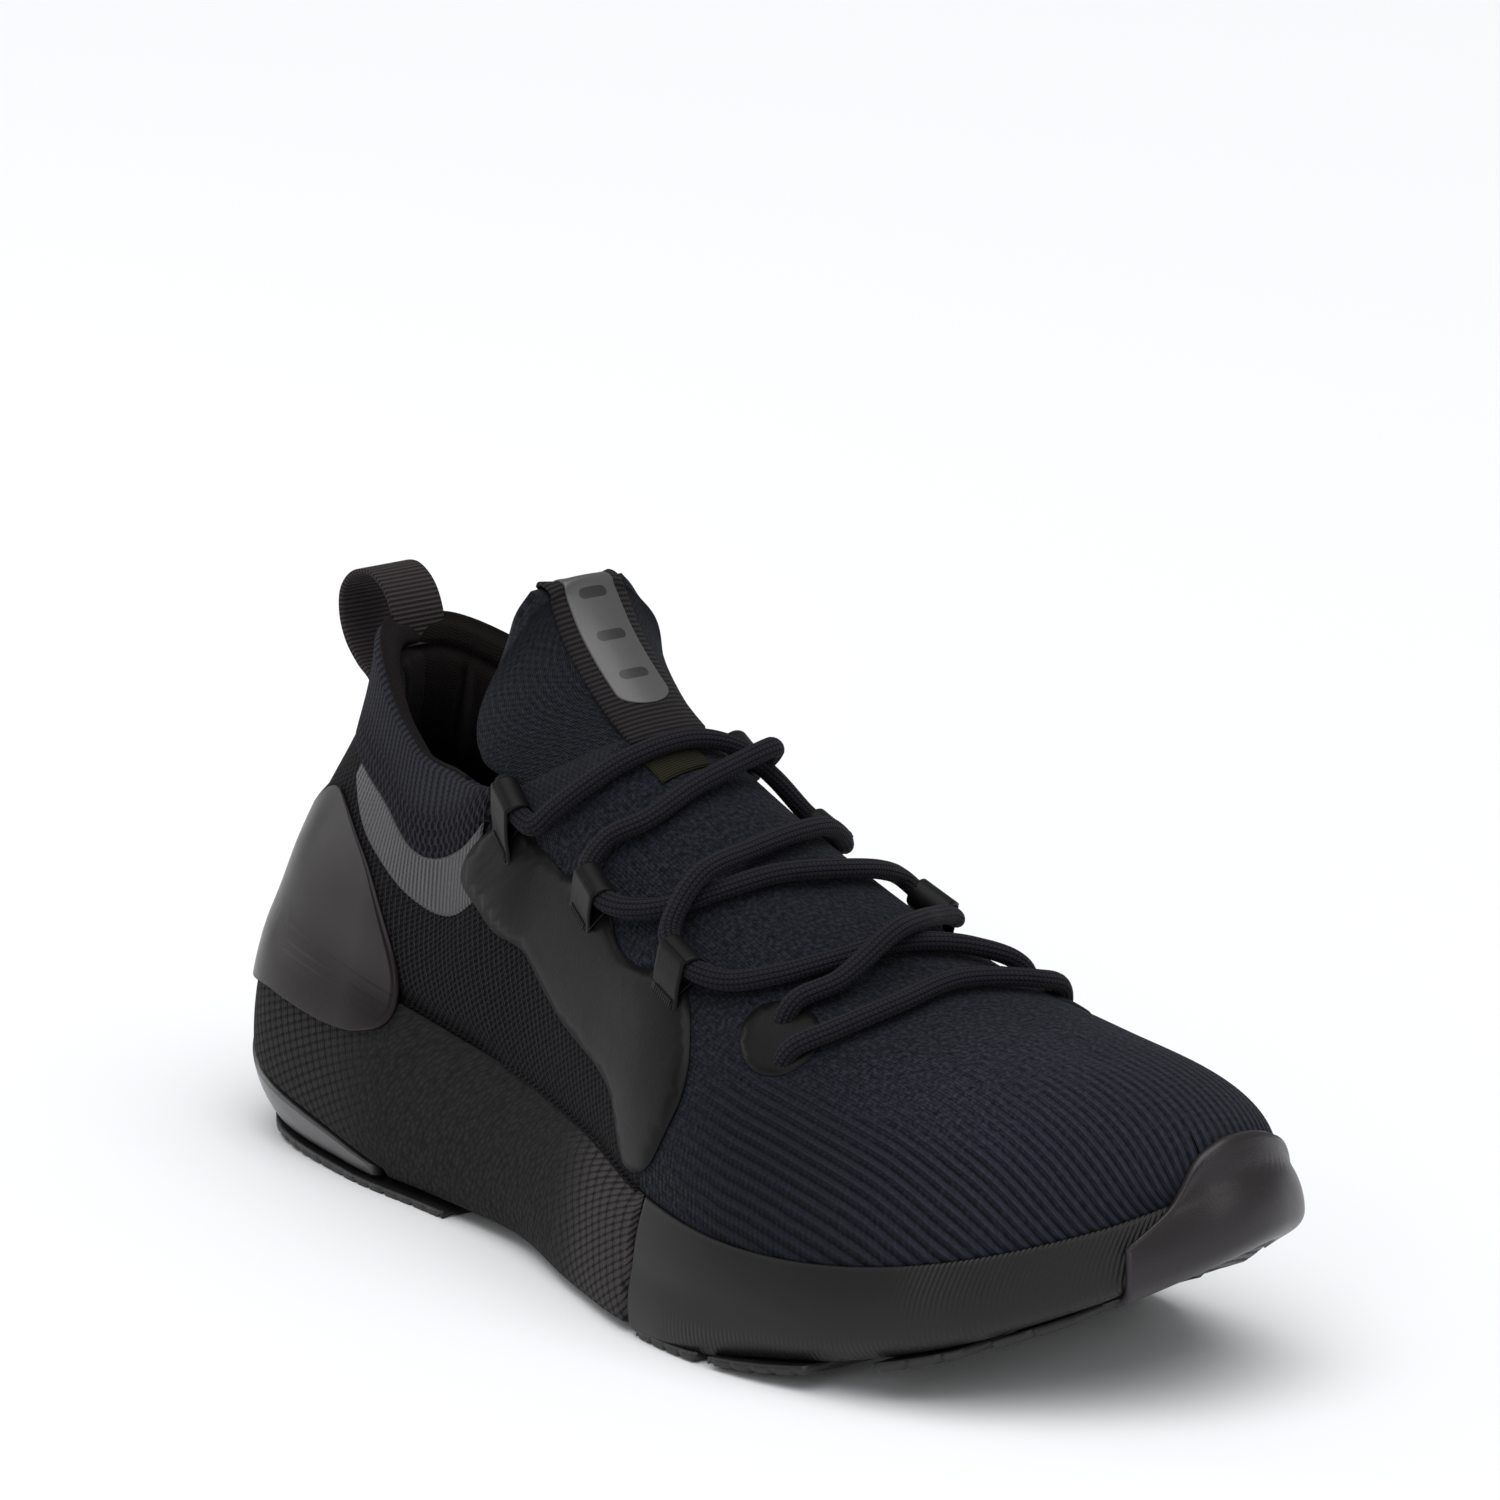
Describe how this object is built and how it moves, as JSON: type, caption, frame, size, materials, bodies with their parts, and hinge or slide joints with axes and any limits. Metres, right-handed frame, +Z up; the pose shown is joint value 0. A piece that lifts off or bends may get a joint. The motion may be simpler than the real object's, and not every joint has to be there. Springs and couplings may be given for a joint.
{
  "type": "running shoe",
  "caption": "Right running shoe with a knit upper, laced instep, padded collar with a heel pull loop, moulded heel clip, mesh-wrapped foam midsole and rubber tread pods.",
  "frame": {"origin": "middle of the overall bounding box in plan, at ground level under the tread pods", "axes": "+X from the heel to the toe, +Y to the medial side (towards the other foot), +Z up"},
  "size_m": [0.3092, 0.1116, 0.1441],
  "materials": {
    "knit": "dark navy-grey ribbed knit, matte",
    "lining": "dark brown brushed knit, matte",
    "quarter_mesh": "open diamond mesh over a dark backing, matte",
    "sole_mesh": "black mesh bonded over foam, raised cells",
    "foam": "moulded closed-cell foam, satin",
    "casing": "smooth moulded foam skin with fine ribs",
    "rubber": "black outsole rubber, satin",
    "film": "thin bonded polymer film, satin",
    "clip": "moulded plastic, glossy brown-grey",
    "lace": "braided flat-round cord, matte",
    "webbing": "ribbed woven webbing, matte",
    "reflective": "smooth grey reflective film",
    "board": "non-woven lasting board, matte"
  },
  "bodies": {
    "rearfoot": {"collar_film_lateral": "film", "collar_film_medial": "film", "collar_foam_pad": "foam", "collar_knit": "knit", "collar_lining": "lining", "eyelet_patch_lateral": "film", "eyelet_patch_medial": "film", "eyestay_lateral": "film", "eyestay_medial": "film", "forefoot_casing_flex_zone": "casing", "forefoot_casing_rear": "casing", "gusset_lateral": "knit", "gusset_medial": "knit", "heel_counter_clip": "clip", "heel_foam_crescent": "foam", "lace": "lace", "lace_loop_lateral_1": "webbing", "lace_loop_lateral_2": "webbing", "lace_loop_lateral_3": "webbing", "lace_loop_medial_1": "webbing", "lace_loop_medial_2": "webbing", "lace_loop_medial_3": "webbing", "mesh_wrap": "sole_mesh", "midsole_foam_flex_zone": "foam", "midsole_foam_rear": "foam", "outsole_forefoot_lateral_1": "rubber", "outsole_forefoot_lateral_2": "rubber", "outsole_forefoot_medial_1": "rubber", "outsole_forefoot_medial_2": "rubber", "outsole_heel_lateral": "rubber", "outsole_heel_medial": "rubber", "pull_loop_end_inside": "webbing", "pull_loop_end_outside": "webbing", "pull_loop_strand_front": "webbing", "pull_loop_strand_rear": "webbing", "quarter_mesh_lateral": "quarter_mesh", "quarter_mesh_medial": "quarter_mesh", "sock_liner": "lining", "strobel_board": "board", "tongue_base": "knit", "tongue_label": "webbing", "tongue_tape_base": "webbing", "vamp_knit_flex_zone": "knit", "vamp_knit_rear": "knit"},
    "forefoot": {"midsole_foam_front": "foam", "forefoot_casing_front": "casing", "vamp_knit_front": "knit", "toe_bumper": "rubber", "outsole_toe": "rubber", "outsole_forefoot_lateral_3": "rubber", "outsole_forefoot_lateral_4": "rubber", "outsole_forefoot_medial_3": "rubber", "outsole_forefoot_medial_4": "rubber"},
    "tongue": {"tongue_flap": "knit", "tongue_tape": "webbing", "reflective_strip": "reflective"},
    "heel_loop": {"heel_pull_loop": "webbing"}
  },
  "joints": [
    {"name": "forefoot_flex", "type": "hinge", "parent": "rearfoot", "child": "forefoot", "pos_m": [0.0801, 0.0026, 0.025], "axis": [0, -1, 0], "range_deg": [0, 30], "stiffness_Nm_per_rad": 6, "deforming": ["midsole_foam_flex_zone", "forefoot_casing_flex_zone", "vamp_knit_flex_zone", "strobel_board", "sock_liner", "outsole_forefoot_lateral_2", "outsole_forefoot_medial_2", "lace", "eyelet_patch_lateral", "eyelet_patch_medial"]},
    {"name": "tongue_flex", "type": "hinge", "parent": "rearfoot", "child": "tongue", "pos_m": [-0.0479, 0.0026, 0.115], "axis": [0, 1, 0], "range_deg": [-12, 20], "stiffness_Nm_per_rad": 0.15, "deforming": ["tongue_base", "tongue_tape_base"]},
    {"name": "heel_loop_swing", "type": "hinge", "parent": "rearfoot", "child": "heel_loop", "pos_m": [-0.1254, 0.0026, 0.119], "axis": [0, 1, 0], "range_deg": [-20, 25], "stiffness_Nm_per_rad": 0.02, "deforming": ["pull_loop_strand_front", "pull_loop_strand_rear"]}
  ]
}
